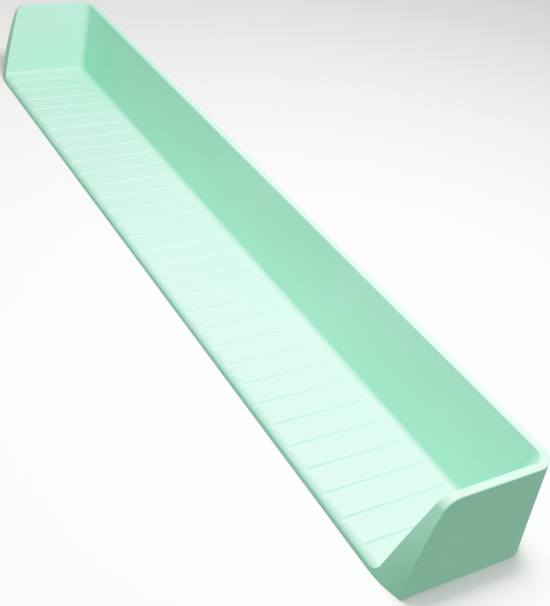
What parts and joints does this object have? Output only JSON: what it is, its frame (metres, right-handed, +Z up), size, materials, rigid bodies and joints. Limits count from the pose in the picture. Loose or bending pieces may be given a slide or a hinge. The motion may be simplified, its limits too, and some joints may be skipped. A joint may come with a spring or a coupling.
{
  "type": "grooved shelf tray",
  "caption": "Long moulded plastic shelf tray with a high back wall, two slanted end walls, an open front and fine drain grooves across its floor, standing on stick-on pads.",
  "frame": {"origin": "middle of the tray's outline, on the surface that the pads stand on", "axes": "+X along the tray towards its right end, +Y towards the back wall, +Z up"},
  "size_m": [0.401, 0.0544, 0.0399],
  "materials": {
    "mint_plastic": "fine satin moulded surface, light mint green",
    "pad_rubber": "soft matt anti-slip rubber, pale grey"
  },
  "bodies": {
    "root": {"tray_shell": "mint_plastic", "foot_pad_front_left": "pad_rubber", "foot_pad_front_middle": "pad_rubber", "foot_pad_front_right": "pad_rubber", "foot_pad_back_left": "pad_rubber", "foot_pad_back_middle": "pad_rubber", "foot_pad_back_right": "pad_rubber"}
  },
  "joints": []
}
